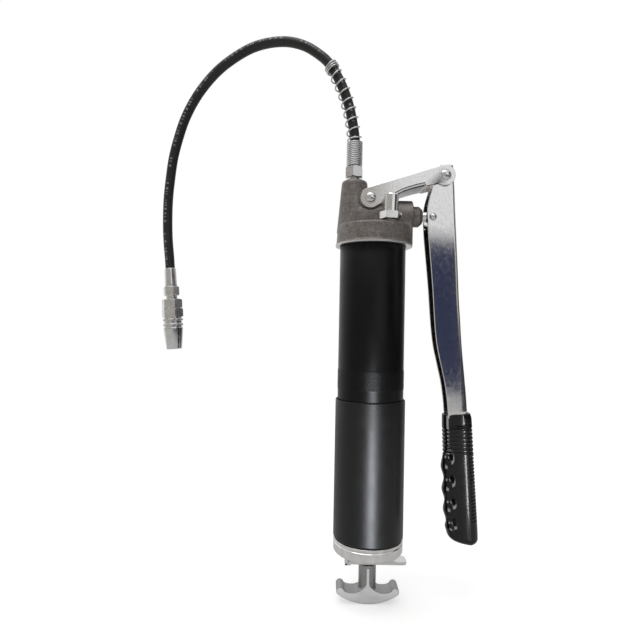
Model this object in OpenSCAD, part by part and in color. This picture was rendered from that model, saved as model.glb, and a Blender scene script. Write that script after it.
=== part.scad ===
// Lever grease gun with a whip hose and a hydraulic coupler.
// The barrel stands along +Z with the origin on its axis, half way up the grip sleeve.
// The lever is on the +X side, and the hose arches over to -X.

/* [Barrel] */
// Outer diameter of the barrel tube
barrel_d = 57; // [56.5:0.1:57.2]
// Wall of the barrel tube
barrel_wall = 1.5; // [1.2:0.1:1.6]
// Outer diameter of the grip sleeve
sleeve_d = 60.4; // [60:0.1:61]
// Length of the grip sleeve
sleeve_len = 118; // [100:1:119]
// Height of the head's lower rim above the origin
head_z = 191.5; // [190:0.5:193]

/* [End cap and rod] */
// Outer diameter of the end cap
cap_d = 60; // [59.6:0.1:60.2]
// Height of the end cap
cap_h = 11.6; // [11:0.1:12.5]
// Diameter of the follower rod
rod_d = 8; // [7:0.5:8]
// Width of the T-handle's bar over its tips
handle_w = 53.6; // [50:0.2:56]
// Depth of the T-handle's bar, front to back
handle_t = 16.5; // [14:0.5:18]

/* [Head] */
// Diameter of the high-pressure plunger
plunger_d = 9; // [8:0.5:9.5]
// Radius of the pump body round the plunger
pump_r = 13.7; // [13:0.1:14]
// Height of the top of the outlet post
post_z = 249.2; // [248:0.1:251]

/* [Lever and link] */
// Outer width of the lever's channel at its top
lever_w = 22; // [20:0.5:22]
// Sheet thickness of the lever and the link
sheet = 1.8; // [1.5:0.1:2]
// Outer width over the link's two plates
link_w = 27.6; // [27.2:0.1:28.5]
// Radius of the link's rounded ends
link_end_r = 8.6; // [8:0.1:9]

/* [Hose and coupler] */
// Outer diameter of the hose
hose_d = 8.8; // [8:0.1:9]
// Lean of the coupler away from the barrel's axis, in degrees
coupler_lean = 4.4; // [3:0.1:5]
// Radius of the bore between the coupler's closed jaws
jaw_r = 3.3; // [3.2:0.05:3.4]

/* [Hidden] */
$fn = 64;
hull_fn = 32;
run_gap = 0.05;
slip = 0.3;

// Barrel and cap
barrel_r = barrel_d / 2;
barrel_in_r = barrel_r - barrel_wall;
sleeve_r = sleeve_d / 2;
sleeve_top = sleeve_len / 2;
sleeve_bottom = -sleeve_len / 2;
cap_r = cap_d / 2;
cap_top = sleeve_bottom - 0.5;
cap_bottom = cap_top - cap_h;
cap_floor = 1.8;
cap_inside = cap_bottom + cap_floor;
cap_dome_bottom = cap_bottom - 5.4;
gasket_t = 2;
skirt_r = 33.5;
skirt_shift = 0.8;
pump_side_r = 34.3;
shoulder_r = 29.8;
deck_z = head_z + 12;
barrel_top = deck_z - gasket_t;
shoulder_z = head_z + 18;

// Rod, follower and latch
rod_r = rod_d / 2;
follower_z = 184;
follower_r = barrel_in_r - slip;
rod_neck_r = 3;
rod_in_handle = 12;
plate_thick = 1.5;
cup_thick = 3;
latch_t = 2.5;
latch_w = 13;
latch_top = cap_dome_bottom - 2.7;
latch_left = -17;
latch_right = 33.3;
hook_w = 8;
bushing_r = 6;
handle_top = latch_top - latch_t - 0.9;
handle_bottom = -114.3;

// Pump: the three pivots lie in the plane y = 0, as [x, z]
plunger_z = 218.9;
fulcrum = [-4, 232];
lever_pivot = [59.7, 252.5];
plunger_pivot = [50, 217.1];
plunger_r = plunger_d / 2;
pump_x = 33.3;
packing_x = 21.5;
packing_r = 7;
inlet_x = 14;
passage_r = 2.5;
post_x = -17;
check_seat_z = 226;
check_ball_r = 3.5;
fitting_z = 240;
fitting_x = -17.5;
pin_r = 4;
pin_head_r = 5.2;
pin_head_h = 2.6;
plunger_pin_r = 2.5;
plate_t = (link_w - lever_w) / 2 - slip;

// Bleeder on the front of the deck
bleeder_at = [12, -22.4, 211.3];
bleeder_lean = 2;
bleeder_pin_r = 2;
bleeder_hex = 19.4;

// Hose: the route of its centre line from the end of its upper ferrule
hose_r = hose_d / 2;
hose_route = [
    [-17.5, 0, 284], [-17.5, 0, 287], [-19.3, 0, 299], [-23, 0.5, 316], [-29, 1, 333],
    [-37, 2, 349], [-41.2, 2.8, 354.9], [-48, 4, 362], [-62, 6.5, 372], [-78, 10, 378],
    [-95, 13.5, 379], [-112, 17, 376],
    [-128, 20, 368.5], [-143, 23, 358.5], [-156, 26, 346], [-167, 28.5, 331.5],
    [-176, 31, 315], [-182.5, 33.5, 297.5], [-187.5, 35.5, 279], [-190.5, 37.5, 260],
    [-192.5, 39, 241], [-193, 40, 222], [-192.5, 41, 203], [-190.8, 41.8, 184],
    [-190, 42, 174.5]
];
guard_rings = 7;
guard_gap = 0.15;
hose_bore_r = 1.7;
fitting_top = 284;
coupler_at = hose_route[len(hose_route) - 1];

// Stations along the coupler, down from the hose's end
ferrule_low = -17.6;
stem_hex_low = -26.4;
body_hex_top = -29.9;
body_hex_low = -38.4;
collar_top = -38.8;
collar_low = -47;
bead_heights = [-49.4, -54.2];
nose_top = -57.4;
jaw_tip = -74;
nose_tip = -77.5;

// ---------- Helpers ----------

function unit(v) = v / norm(v);

// Direction of a path at point i
function heading(path, i) =
    unit(path[min(i + 1, len(path) - 1)] - path[max(i - 1, 0)]);

// A ring of points round point i, square to the path; side_dir fixes where it starts
function ring(path, i, r, side_dir, sides) =
    let (t = heading(path, i),
         n = unit(side_dir - (side_dir * t) * t),
         b = cross(t, n))
    [for (k = [0 : sides - 1]) path[i] + r * (cos(360 * k / sides) * n + sin(360 * k / sides) * b)];

// The wall between neighbouring rings as triangles, for every ring of a sweep
function wall_faces(rings, sides, first, flip) = [
    for (i = [0 : rings - 2], k = [0 : sides - 1], half = [0, 1])
        let (a = first + i * sides + k,
             b = first + i * sides + (k + 1) % sides,
             face = half == 0 ? [a, a + sides, b + sides] : [a, b + sides, b])
        flip ? [face[2], face[1], face[0]] : face
];

// A solid round bar along a path
module swept_bar(path, r, side_dir, sides) {
    rings = len(path);
    last = (rings - 1) * sides;
    polyhedron(
        points = [for (i = [0 : rings - 1]) each ring(path, i, r, side_dir, sides)],
        faces = concat(
            [[for (k = [0 : sides - 1]) k]],
            wall_faces(rings, sides, 0, false),
            [[for (k = [sides - 1 : -1 : 0]) last + k]]
        )
    );
}

// A hollow round tube along a path
module swept_tube(path, r_out, r_in, side_dir, sides) {
    rings = len(path);
    inner = rings * sides;
    last = (rings - 1) * sides;
    polyhedron(
        points = concat(
            [for (i = [0 : rings - 1]) each ring(path, i, r_out, side_dir, sides)],
            [for (i = [0 : rings - 1]) each ring(path, i, r_in, side_dir, sides)]
        ),
        faces = concat(
            wall_faces(rings, sides, 0, false),
            wall_faces(rings, sides, inner, true),
            [for (k = [0 : sides - 1]) let (j = (k + 1) % sides) [k, j, inner + j, inner + k]],
            [for (k = [0 : sides - 1]) let (j = (k + 1) % sides)
                [last + j, last + k, inner + last + k, inner + last + j]]
        )
    );
}

// A coil spring round the Z axis between two heights, measured over its wire
module coil(r_mid, wire_r, low, high, turns, steps) {
    count = turns * steps;
    path = [
        for (i = [0 : count])
            [r_mid * cos(360 * i / steps), r_mid * sin(360 * i / steps),
             low + wire_r + (high - low - 2 * wire_r) * i / count]
    ];
    swept_bar(path, wire_r, [0, 0, 1], 6);
}

// A ring round the Z axis
module tube(r_out, r_in, low, high) {
    difference() {
        translate([0, 0, low]) cylinder(r = r_out, h = high - low);
        translate([0, 0, low - 1]) cylinder(r = r_in, h = high - low + 2);
    }
}

// A disc or rod round the Z axis
module bar(r, low, high) {
    translate([0, 0, low]) cylinder(r = r, h = high - low);
}

// A hexagonal prism round the Z axis, by its width across corners
module hex(corners, low, high, turn = 0) {
    translate([0, 0, low]) rotate([0, 0, turn]) cylinder(d = corners, h = high - low, $fn = 6);
}

// Lays an outline drawn as [x, z] in the plane y = 0, as thick as given
module upright(thick) {
    translate([0, thick / 2, 0]) rotate([90, 0, 0]) linear_extrude(thick) children();
}

// Turns a shape drawn along +Z so that it lies along +X on the plunger's axis
module on_plunger_axis() {
    translate([0, 0, plunger_z]) rotate([0, 90, 0]) children();
}

module at_bleeder() {
    translate(bleeder_at) rotate([0, bleeder_lean, 0]) children();
}

// The coupler is drawn hanging down from the hose's end
module at_coupler() {
    translate(coupler_at) rotate([0, -coupler_lean, 0]) children();
}

// A riveted pin across the linkage, with a domed head at each end
module rivet(at, r, head_r, head_h, span) {
    dome_r = (head_r * head_r + head_h * head_h) / (2 * head_h);
    translate([at[0], 0, at[1]]) rotate([90, 0, 0]) {
        translate([0, 0, -span / 2]) cylinder(r = r, h = span);
        for (side = [0, 1]) mirror([0, 0, side])
            intersection() {
                translate([0, 0, span / 2 + head_h - dome_r]) sphere(r = dome_r);
                translate([0, 0, span / 2]) cylinder(r = head_r + 1, h = head_h + 1);
            }
    }
}

// ---------- Head ----------

// Skirt and deck, a little thicker on the pump's side
module head_turned() {
    translate([skirt_shift, 0, 0]) rotate_extrude() union() {
        polygon([
            [0, head_z], [skirt_r, head_z], [skirt_r, head_z + 1.6], [skirt_r - 0.8, head_z + 3],
            [shoulder_r + 2, shoulder_z - 2], [shoulder_r, shoulder_z], [0, shoulder_z + 0.6]
        ]);
        translate([shoulder_r, shoulder_z - 2]) circle(r = 2);
    }
}

// Outlet post, tapered, with a rounded top edge
module head_post() {
    foot_r = 14.9;
    top_r = 8.3;
    edge_r = 3;
    translate([post_x, 0, 0]) rotate_extrude() union() {
        polygon([
            [0, deck_z], [foot_r, deck_z], [top_r + edge_r, post_z - edge_r],
            [top_r, post_z], [0, post_z]
        ]);
        translate([top_r, post_z - edge_r]) circle(r = edge_r);
    }
}

// Pump body along X, standing on the deck, with its wall brought down the skirt's side
module head_pump() {
    wall_low = head_z + 2.4;
    on_plunger_axis() translate([0, 0, post_x]) cylinder(r = pump_r, h = pump_x - post_x);
    intersection() {
        translate([post_x, -pump_r, wall_low])
            cube([pump_side_r - post_x, 2 * pump_r, plunger_z - wall_low]);
        bar(pump_side_r, wall_low, shoulder_z);
    }
    intersection() {
        translate([post_x, -pump_r, deck_z + 1])
            cube([pump_x - post_x, 2 * pump_r, plunger_z - deck_z - 1]);
        bar(pump_side_r, deck_z, post_z);
    }
}

// Lug between the link's plates, round the fulcrum and down to the pump body
module head_lug() {
    lug_w = lever_w - 0.2;
    lug_r = 9;
    upright(lug_w) union() {
        translate(fulcrum) circle(r = lug_r);
        polygon([[-14, plunger_z], [-12, 236], [-7, 240.2], [2, 238.6], [9, plunger_z]]);
    }
}

// Die-cast head, bored for the plunger, the grease and its fittings
module head_casting() {
    color("#8d8680") difference() {
        union() {
            head_turned();
            head_post();
            head_pump();
            head_lug();
            at_bleeder() bar(6.8, -5, -0.05);
        }
        // Pocket the barrel screws into
        bar(barrel_r + run_gap, head_z - 1, deck_z);
        // Flats the link's plates swing against, and the spot face for the bleeder
        for (side = [0, 1]) mirror([0, side, 0]) translate([fulcrum[0], -11.15, fulcrum[1]])
            rotate([90, 0, 0]) cylinder(r = link_end_r + 1.9, h = 10);
        at_bleeder() bar(bleeder_hex / 2 + 0.6, -0.6, 9);
        // Plunger bore, packing recess and the passage to the post
        on_plunger_axis() {
            translate([0, 0, -9]) cylinder(r = plunger_r + run_gap, h = pump_x + 10);
            translate([0, 0, packing_x]) cylinder(r = packing_r, h = pump_x);
            translate([0, 0, post_x]) cylinder(r = passage_r, h = -post_x);
        }
        // Grease inlet from the barrel
        translate([inlet_x, 0, 0]) bar(passage_r + 1, deck_z - 1, plunger_z);
        // Outlet passage, check-valve chamber and the thread for the hose fitting
        translate([post_x, 0, 0]) {
            bar(passage_r, plunger_z, post_z);
            bar(check_ball_r + 0.6, check_seat_z, post_z);
        }
        translate([fitting_x, 0, 0]) bar(4.9, fitting_z, post_z + 1);
        // Fulcrum bore
        translate([fulcrum[0], 0, fulcrum[1]]) rotate([90, 0, 0])
            cylinder(r = pin_r + run_gap, h = 2 * pump_r, center = true);
        at_bleeder() bar(4.3, -8.5, 1);
    }
}

// Flat ring the barrel's rim seals on
module head_gasket() {
    color("#202020") tube(barrel_r - 0.1, 24.5, barrel_top, deck_z);
}

// Threaded gland with a chamfered head, screwed in over the packing
module packing_nut() {
    head_r = 8.95;
    rim_r = 6.4;
    color("#8f8a84") on_plunger_axis() difference() {
        union() {
            bar(packing_r - run_gap, packing_x + 4, pump_x + 1);
            rotate_extrude() polygon([
                [0, pump_x], [head_r - 0.5, pump_x], [head_r, pump_x + 0.8], [head_r, pump_x + 5.4],
                [rim_r, pump_x + 9], [0, pump_x + 9]
            ]);
        }
        bar(plunger_r + run_gap, packing_x, pump_x + 10);
    }
}

// Soft packing ring round the plunger
module plunger_packing() {
    color("#2b2b2b") on_plunger_axis()
        tube(packing_r - run_gap, plunger_r + run_gap, packing_x, packing_x + 4);
}

// Plunger with a tall slotted eye that the lever's pin works in
module plunger() {
    eye_w = 12;
    eye_wall = 1.6;
    eye_at = plunger_pivot + [0, 0.15];
    slot_play = 2.1;
    slot_r = plunger_pin_r + 0.45;
    color("#c9ccd0") difference() {
        union() {
            on_plunger_axis() bar(plunger_r, -6, plunger_pivot[0] - 3.4);
            upright(eye_w) translate(eye_at) union() {
                for (s = [-1, 1]) translate([0, s * slot_play]) circle(r = slot_r + eye_wall);
                square([2 * (slot_r + eye_wall), 2 * slot_play], center = true);
            }
        }
        upright(eye_w + 2) translate(eye_at) union() {
            for (s = [-1, 1]) translate([0, s * slot_play]) circle(r = slot_r);
            square([2 * slot_r, 2 * slot_play], center = true);
        }
    }
}

// Ball of the outlet check valve, on its seat
module outlet_ball() {
    color("#d8dadd") translate([post_x, 0, check_seat_z + 2.5]) sphere(r = check_ball_r);
}

module outlet_spring() {
    color("#b8bcc0") translate([post_x, 0, 0])
        coil(2.9, 0.4, check_seat_z + 4.8, fitting_z - 0.1, 5, 12);
}

// ---------- Barrel, sleeve and end cap ----------

// Barrel tube with a knurled band above the sleeve
module barrel_tube() {
    knurl_low = sleeve_top + 9;
    knurl_h = 17;
    knurl_proud = 0.25;
    color("#0d0d0f") difference() {
        union() {
            bar(barrel_r, cap_inside + 0.1, barrel_top);
            bar(barrel_r + knurl_proud, knurl_low, knurl_low + knurl_h);
        }
        bar(barrel_in_r, cap_inside - 1, barrel_top + 1);
    }
}

// Sleeve round the barrel, necked in at its lower end
module grip_sleeve() {
    sleeve_in_r = sleeve_r - 1;
    color("#1b1b1d") difference() {
        bar(sleeve_r, sleeve_bottom, sleeve_top);
        bar(barrel_r + run_gap, sleeve_bottom - 1, sleeve_top + 1);
        bar(sleeve_in_r, sleeve_bottom + 2, sleeve_top + 1);
    }
}

// Pressed cap with a rolled bead, a domed middle and a hook for the latch plate
module end_cap() {
    bead_r = 1.2;
    dome_r = 12;
    dome_foot_r = 17;
    hook_bottom = latch_top - latch_t - 2.2;
    color("#c8c6c0") difference() {
        union() {
            rotate_extrude() difference() {
                union() {
                    polygon([
                        [0, cap_dome_bottom], [dome_r, cap_dome_bottom], [dome_foot_r, cap_bottom],
                        [cap_r - 0.9, cap_bottom], [cap_r - 0.1, cap_bottom + 0.8],
                        [cap_r - 0.1, cap_top - 3.4], [cap_r - 0.9, cap_top - 2.4],
                        [cap_r - bead_r, cap_top], [0, cap_top]
                    ]);
                    translate([cap_r - bead_r, cap_top - bead_r]) circle(r = bead_r);
                }
                polygon([
                    [0, cap_dome_bottom + cap_floor], [dome_r - 1.1, cap_dome_bottom + cap_floor],
                    [dome_foot_r - 1.1, cap_inside], [barrel_r + run_gap, cap_inside],
                    [barrel_r + run_gap, cap_top + 1], [0, cap_top + 1]
                ]);
            }
            // Hook that carries the latch plate's far end
            translate([latch_left - 2.6, -hook_w / 2, hook_bottom]) {
                cube([2, hook_w, cap_bottom - hook_bottom + 0.4]);
                cube([5, hook_w, 1.8]);
            }
        }
        bar(bushing_r + run_gap, cap_dome_bottom - 1, cap_top);
    }
}

// Flanged bushing that guides the follower rod
module rod_bushing() {
    color("#b08d4f") difference() {
        union() {
            bar(bushing_r, cap_dome_bottom, cap_dome_bottom + 8);
            bar(8.5, cap_dome_bottom + cap_floor, cap_dome_bottom + cap_floor + 1.6);
        }
        bar(rod_r + run_gap, cap_dome_bottom - 1, cap_dome_bottom + 9);
    }
}

// Thumb latch: a plate whose hole tips against the rod and grips it
module latch_plate() {
    corner = 4;
    color("#c9cacc") difference() {
        union() {
            translate([latch_left + latch_t / 2, -latch_w / 2, latch_top - latch_t])
                cube([latch_right - corner - latch_left - latch_t / 2, latch_w, latch_t]);
            translate([latch_left + latch_t / 2, 0, latch_top - latch_t / 2]) rotate([90, 0, 0])
                cylinder(d = latch_t, h = latch_w, center = true);
            translate([0, -latch_w / 2 + corner, latch_top - latch_t])
                cube([latch_right, latch_w - 2 * corner, latch_t]);
            for (s = [-1, 1]) translate([latch_right - corner, s * (latch_w / 2 - corner), 0])
                bar(corner, latch_top - latch_t, latch_top);
        }
        bar(rod_r + 0.5, latch_top - latch_t - 1, latch_top + 1);
    }
}

module latch_spring() {
    color("#b8bcc0") coil(5.6, 0.35, latch_top + 0.1, cap_dome_bottom - 0.1, 2, 14);
}

module follower_rod() {
    color("#c4c7ca") union() {
        bar(rod_r, handle_top - rod_in_handle, follower_z);
        bar(rod_neck_r, follower_z - 1, follower_z + 13);
    }
}

// T-handle: a bar with a bowed underside and a saddle for a finger on each side of its stem
module t_handle() {
    arc_r = 46;
    arm_h = 13.7;
    tip_r = 3.4;
    tip_x = handle_w / 2 - tip_r;
    tip_top = handle_bottom + arm_h;
    saddle_r = 14;
    saddle_x = 13.5;
    saddle_z = tip_top - 4.4 + saddle_r;
    stem_r = 7.5;
    color("#b9babc") difference() {
        union() {
            upright(handle_t) union() {
                difference() {
                    intersection() {
                        translate([0, handle_bottom + arc_r]) circle(r = arc_r, $fn = 128);
                        union() {
                            translate([-tip_x, handle_bottom]) square([2 * tip_x, arm_h]);
                            translate([-5, handle_bottom]) square([10, arm_h + 6]);
                        }
                    }
                    for (s = [-1, 1]) translate([s * saddle_x, saddle_z]) circle(r = saddle_r);
                }
                for (s = [-1, 1]) translate([s * tip_x, tip_top - tip_r]) circle(r = tip_r);
            }
            bar(stem_r, handle_bottom + 8, handle_top);
        }
        bar(rod_r + run_gap, handle_top - rod_in_handle - 0.1, handle_top + 1);
    }
}

// ---------- Follower ----------

cup_low = follower_z + plate_thick;
cup_high = cup_low + cup_thick;

module follower_plate_lower() {
    color("#9aa0a6") tube(22, rod_neck_r + run_gap, follower_z, cup_low);
}

// Rubber cup with a lip up and down the barrel's wall
module follower_cup() {
    lip_t = 2;
    color("#181818") rotate_extrude() union() {
        translate([rod_neck_r + run_gap, cup_low]) square([23, cup_thick]);
        translate([follower_r - lip_t, follower_z - 8]) square([lip_t, 21]);
    }
}

module follower_plate_upper() {
    color("#9aa0a6") tube(21, rod_neck_r + run_gap, cup_high, cup_high + plate_thick);
}

module follower_nut() {
    color("#b8bcc0") difference() {
        hex(11.5, cup_high + plate_thick, cup_high + plate_thick + 5);
        bar(rod_neck_r + run_gap, follower_z, follower_z + 12);
    }
}

module follower_spring() {
    color("#8a8d90") coil(21, 1.1, cap_inside + 0.1, follower_z - 0.1, 16, 12);
}

// ---------- Link and lever ----------

// Side view of one link plate. Its lower edge is given as distances from the fulcrum towards
// the lever's pivot, and heights off the line between them.
link_dir = unit(lever_pivot - fulcrum);
link_up = [-link_dir[1], link_dir[0]];
link_low = [[21, -4.5], [24, -3.9], [29, -3.1], [38, -2.9], [48, -3.4], [50, -4.2], [53, -4.3]];
link_web_t = 2;

function on_link(p, lift = 0) = fulcrum + p[0] * link_dir + (p[1] + lift) * link_up;

module link_outline() {
    span = norm(lever_pivot - fulcrum);
    for (p = [fulcrum, lever_pivot]) translate(p) circle(r = link_end_r);
    polygon([
        on_link([0, link_end_r]), on_link([3, -8.06]), for (p = link_low) on_link(p),
        on_link([60, -4.6]), on_link([span, -4.6]), on_link([span, link_end_r])
    ]);
}

// The web that joins the two plates along their lower edges
module link_web() {
    last = len(link_low) - 1;
    polygon(concat(
        [for (p = link_low) on_link(p)],
        [for (i = [last : -1 : 0]) on_link(link_low[i], link_web_t)]
    ));
}

// Link: two plates and the web, swinging on the fulcrum and carrying the lever
module link() {
    color("#cfd2d6") difference() {
        union() {
            for (s = [-1, 1]) translate([0, s * (link_w - plate_t) / 2, 0])
                upright(plate_t) link_outline();
            upright(link_w - plate_t) link_web();
        }
        for (p = [fulcrum, lever_pivot]) translate([p[0], 0, p[1]]) rotate([90, 0, 0])
            cylinder(r = pin_r + run_gap, h = link_w + 2, center = true);
    }
}

module fulcrum_pin() {
    color("#d5d8db") rivet(fulcrum, pin_r, pin_head_r, pin_head_h, link_w);
}

module lever_pin() {
    color("#d5d8db") rivet(lever_pivot, pin_r, pin_head_r, pin_head_h, link_w);
}

module plunger_pin() {
    color("#d5d8db") rivet(plunger_pivot, plunger_pin_r, 3.3, 2.4, lever_w);
}

// Side view of the lever's channel: back edge down the spine, then up the open edge
lever_back = [[66.9, 262.3], [69.4, 214], [72.6, 162], [75.5, 120], [79.9, 78], [84, 44]];
lever_open = [[66.4, 44], [63, 74.5], [56.2, 104.5], [53.8, 122], [47.3, 196], [45.7, 212],
              [45.5, 226], [50.3, 245], [55.4, 259]];
neck_w = 17.2;
tang_w = 14.8;
tang_low = -42;
tang_shift = [5, tang_low - 44];
tang = [lever_back[5] + [-2.6, 0], lever_back[5] + [-2.6, 0] + tang_shift,
        lever_open[0] + [1.2, 0] + tang_shift, lever_open[0] + [1.2, 0]];

module lever_side() {
    polygon(concat(lever_back, lever_open));
    polygon(tang);
}

// The same view, brought in from the spine by the sheet's thickness and left open at the front
module lever_hollow() {
    far = [-20, 0];
    polygon(concat(
        [for (p = lever_back) p + [-sheet, p[1] > 250 ? 10 : 0]],
        [lever_open[0] + far, lever_open[8] + far + [0, 13]]
    ));
    polygon([
        tang[0] + [-sheet, 1], tang[1] + [-sheet, -1], tang[2] + far + [0, -1], tang[3] + far + [0, 1]
    ]);
}

// Front view, as half widths at four heights
module lever_front(inset) {
    wide = lever_w / 2 - inset;
    narrow = neck_w / 2 - inset;
    slim = tang_w / 2 - inset;
    rotate([90, 0, 90]) linear_extrude(200) polygon([
        [-wide, 264], [-wide, 205], [-narrow, 60], [-narrow, 45], [-slim, 43], [-slim, tang_low],
        [slim, tang_low], [slim, 43], [narrow, 45], [narrow, 60], [wide, 205], [wide, 264]
    ]);
}

// Lever: a pressed channel, open towards the barrel, with both pin holes
module lever() {
    color("#c6cad2") difference() {
        intersection() {
            upright(lever_w) lever_side();
            lever_front(0);
        }
        intersection() {
            upright(lever_w) lever_hollow();
            lever_front(sheet);
        }
        translate([lever_pivot[0], 0, lever_pivot[1]]) rotate([90, 0, 0])
            cylinder(r = pin_r + run_gap, h = lever_w + 2, center = true);
        translate([plunger_pivot[0], 0, plunger_pivot[1]]) rotate([90, 0, 0])
            cylinder(r = plunger_pin_r + run_gap, h = lever_w + 2, center = true);
    }
}

// Moulded hand grip over the lever's tang
module lever_grip() {
    grip_top = [75, 48];
    grip_lean = 3.7;
    grip_len = 112;
    collar_r = 8;
    grip_r = 8.8;
    end_r = 10.4;
    finger_pitch = 18.3;
    finger_r = 20;
    finger_depth = 2.4;
    color("#101012") difference() {
        translate([grip_top[0], 0, grip_top[1]]) rotate([0, -grip_lean, 0]) difference() {
            hull() {
                for (x = [-3.8, 3.8]) translate([x, 0, -2])
                    cylinder(r = collar_r, h = 2, $fn = hull_fn);
                for (x = [-3.6, 3.6]) translate([x, 0, -4])
                    cylinder(r = grip_r, h = 1, $fn = hull_fn);
                for (x = [-2.2, 2.8]) translate([x, 0, end_r + 0.1 - grip_len])
                    sphere(r = end_r, $fn = hull_fn);
            }
            // Three finger grooves on the side towards the barrel
            for (i = [0 : 2])
                translate([-13 - finger_r + finger_depth, 0, -56 - i * finger_pitch])
                    rotate([90, 0, 0]) cylinder(r = finger_r, h = 40, center = true);
        }
        upright(tang_w + 0.4) polygon([
            tang[0] + [0.2, 5], tang[1] + [0.2, -0.2], tang[2] + [-0.2, -0.2], tang[3] + [-0.2, 5]
        ]);
        translate([60, -neck_w / 2 - 0.2, 43]) cube([30, neck_w + 0.4, 10]);
    }
}

// ---------- Bleeder valve ----------

// Bleeder and filler fitting, screwed into the front of the head
module bleeder_body() {
    color("#cdd0d3") at_bleeder() difference() {
        union() {
            bar(4.25, -6.8, 0.5);
            hex(bleeder_hex, 0, 6);
            bar(6.05, 5.5, 20.7);
            bar(5.4, 20, 21.3);
        }
        bar(3.2, -9, 13);
        bar(bleeder_pin_r + run_gap, 12, 22);
    }
}

module bleeder_plug() {
    color("#b8bcc0") at_bleeder() tube(3.15, 1.2, 1, 2.5);
}

module bleeder_pin() {
    color("#d8dadd") at_bleeder() union() {
        bar(bleeder_pin_r, 12, 21.1);
        bar(2.9, 11.2, 12.7);
    }
}

module bleeder_spring() {
    color("#b8bcc0") at_bleeder() coil(2.4, 0.35, 2.6, 11.1, 5, 12);
}

// ---------- Hose ----------

// Hose end fitting: thread, neck, hexagon and crimped ferrule
module hose_fitting() {
    color("#c8cbce") translate([fitting_x, 0, 0]) difference() {
        union() {
            bar(4.85, fitting_z, post_z);
            bar(4.7, post_z - 1, post_z + 4);
            hex(16.4, post_z + 3, post_z + 12.1, 20);
            bar(5, post_z + 11, fitting_top);
        }
        bar(hose_bore_r, fitting_z - 1, fitting_top + 1);
    }
}

// Envelope of the coil guard: closed turns on the ferrule, then open turns round the hose
module spring_guard() {
    color("#c8cbce") {
        translate([fitting_x, 0, 0])
            tube(7.15, 5 + guard_gap, post_z + 12.3, fitting_top - 0.2);
        swept_tube([for (i = [0 : guard_rings - 1]) hose_route[i]], 6.6, 4.75, [0, 1, 0], 12);
    }
}

module hose() {
    color("#131313") swept_bar(hose_route, hose_r, [0, 1, 0], 10);
}

// ---------- Coupler, drawn along -Z from the hose's end ----------

// Ferrule crimped on the hose, with the hexagon and thread below it
module coupler_stem() {
    color("#c8cbce") at_coupler() difference() {
        union() {
            rotate_extrude() polygon([
                [0, 0], [5.2, 0], [5.4, -0.4], [5.8, ferrule_low], [0, ferrule_low]
            ]);
            hex(15.2, stem_hex_low, ferrule_low + 0.2);
            bar(5.2, body_hex_top - 0.1, stem_hex_low + 0.4);
            bar(4.8, body_hex_low + 0.4, body_hex_top + 0.9);
        }
        bar(hose_bore_r, body_hex_low - 0.6, 1);
    }
}

// Coupler body: hexagon and the tube that holds the check ball
module coupler_body() {
    color("#c2c6c9") at_coupler() difference() {
        union() {
            hex(19.6, body_hex_low, body_hex_top);
            bar(7.5, -50, body_hex_low + 0.4);
        }
        bar(4.85, body_hex_low + 0.3, body_hex_top + 0.9);
        bar(1.8, -42, -37);
        bar(3.2, -51, -41);
    }
}

module coupler_ball() {
    color("#d8dadd") at_coupler() translate([0, 0, -42.7]) sphere(r = 2.4);
}

module coupler_check_spring() {
    color("#b8bcc0") at_coupler() coil(2.1, 0.3, -49.9, -44.4, 4, 12);
}

// Hexagonal collar, two beads and a tapered nose
module coupler_sleeve() {
    bead_r = 0.9;
    neck_r = 8.6;
    mouth_r = 3.9;
    color("#c8cbce") at_coupler() difference() {
        union() {
            hex(20.4, collar_low, collar_top);
            rotate_extrude() union() {
                polygon([
                    [0, collar_low + 1], [neck_r, collar_low + 1], [neck_r, nose_top + 0.4],
                    [neck_r + 0.6, nose_top], [neck_r + 0.6, nose_top - 0.6],
                    [7.1, nose_tip + 0.5], [6.7, nose_tip], [0, nose_tip]
                ]);
                for (z = bead_heights) translate([neck_r, z]) circle(r = bead_r);
            }
        }
        bar(7.55, -52, collar_top + 0.8);
        rotate_extrude() polygon([
            [0, -51], [7.1, -51], [7.1, -58], [5.3, jaw_tip - 0.4], [0, jaw_tip - 0.4]
        ]);
        bar(mouth_r, nose_tip - 0.5, jaw_tip + 1);
    }
}

module coupler_spring() {
    color("#b8bcc0") at_coupler() coil(5.4, 0.5, -55.9, -50.1, 3, 12);
}

module seal_washer() {
    color("#b8bcc0") at_coupler() tube(6.6, 2, -57.3, -56);
}

module coupler_seal() {
    color("#202020") at_coupler() tube(4.6, 1.5, -60, -57.35);
}

// Three jaws that close on the grease nipple
module coupler_jaws() {
    color("#b0b4b8") at_coupler() difference() {
        rotate_extrude() polygon([
            [0, nose_top], [6.5, nose_top], [6.5, nose_top - 1.1], [4.9, jaw_tip], [0, jaw_tip]
        ]);
        bar(jaw_r, jaw_tip - 1, nose_top + 0.4);
        bar(4.7, -60.1, nose_top + 0.4);
        for (a = [0, 120, 240]) rotate([0, 0, a]) translate([0, -0.5, -75]) cube([8, 1, 20]);
    }
}

head_casting();
head_gasket();
barrel_tube();
grip_sleeve();
end_cap();
rod_bushing();
latch_plate();
latch_spring();
follower_rod();
t_handle();
follower_plate_lower();
follower_cup();
follower_plate_upper();
follower_nut();
follower_spring();
plunger();
plunger_packing();
packing_nut();
outlet_ball();
outlet_spring();
link();
fulcrum_pin();
lever_pin();
lever();
plunger_pin();
lever_grip();
bleeder_body();
bleeder_plug();
bleeder_pin();
bleeder_spring();
hose_fitting();
spring_guard();
hose();
coupler_stem();
coupler_body();
coupler_sleeve();
coupler_ball();
coupler_check_spring();
coupler_spring();
seal_washer();
coupler_seal();
coupler_jaws();
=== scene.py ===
"""Lever grease gun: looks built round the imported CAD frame.

Meshes are drawn in millimetres in the row frame and stored in metres. Every piece rides on
its CAD body, so it follows the joints.
"""
import math

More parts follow.
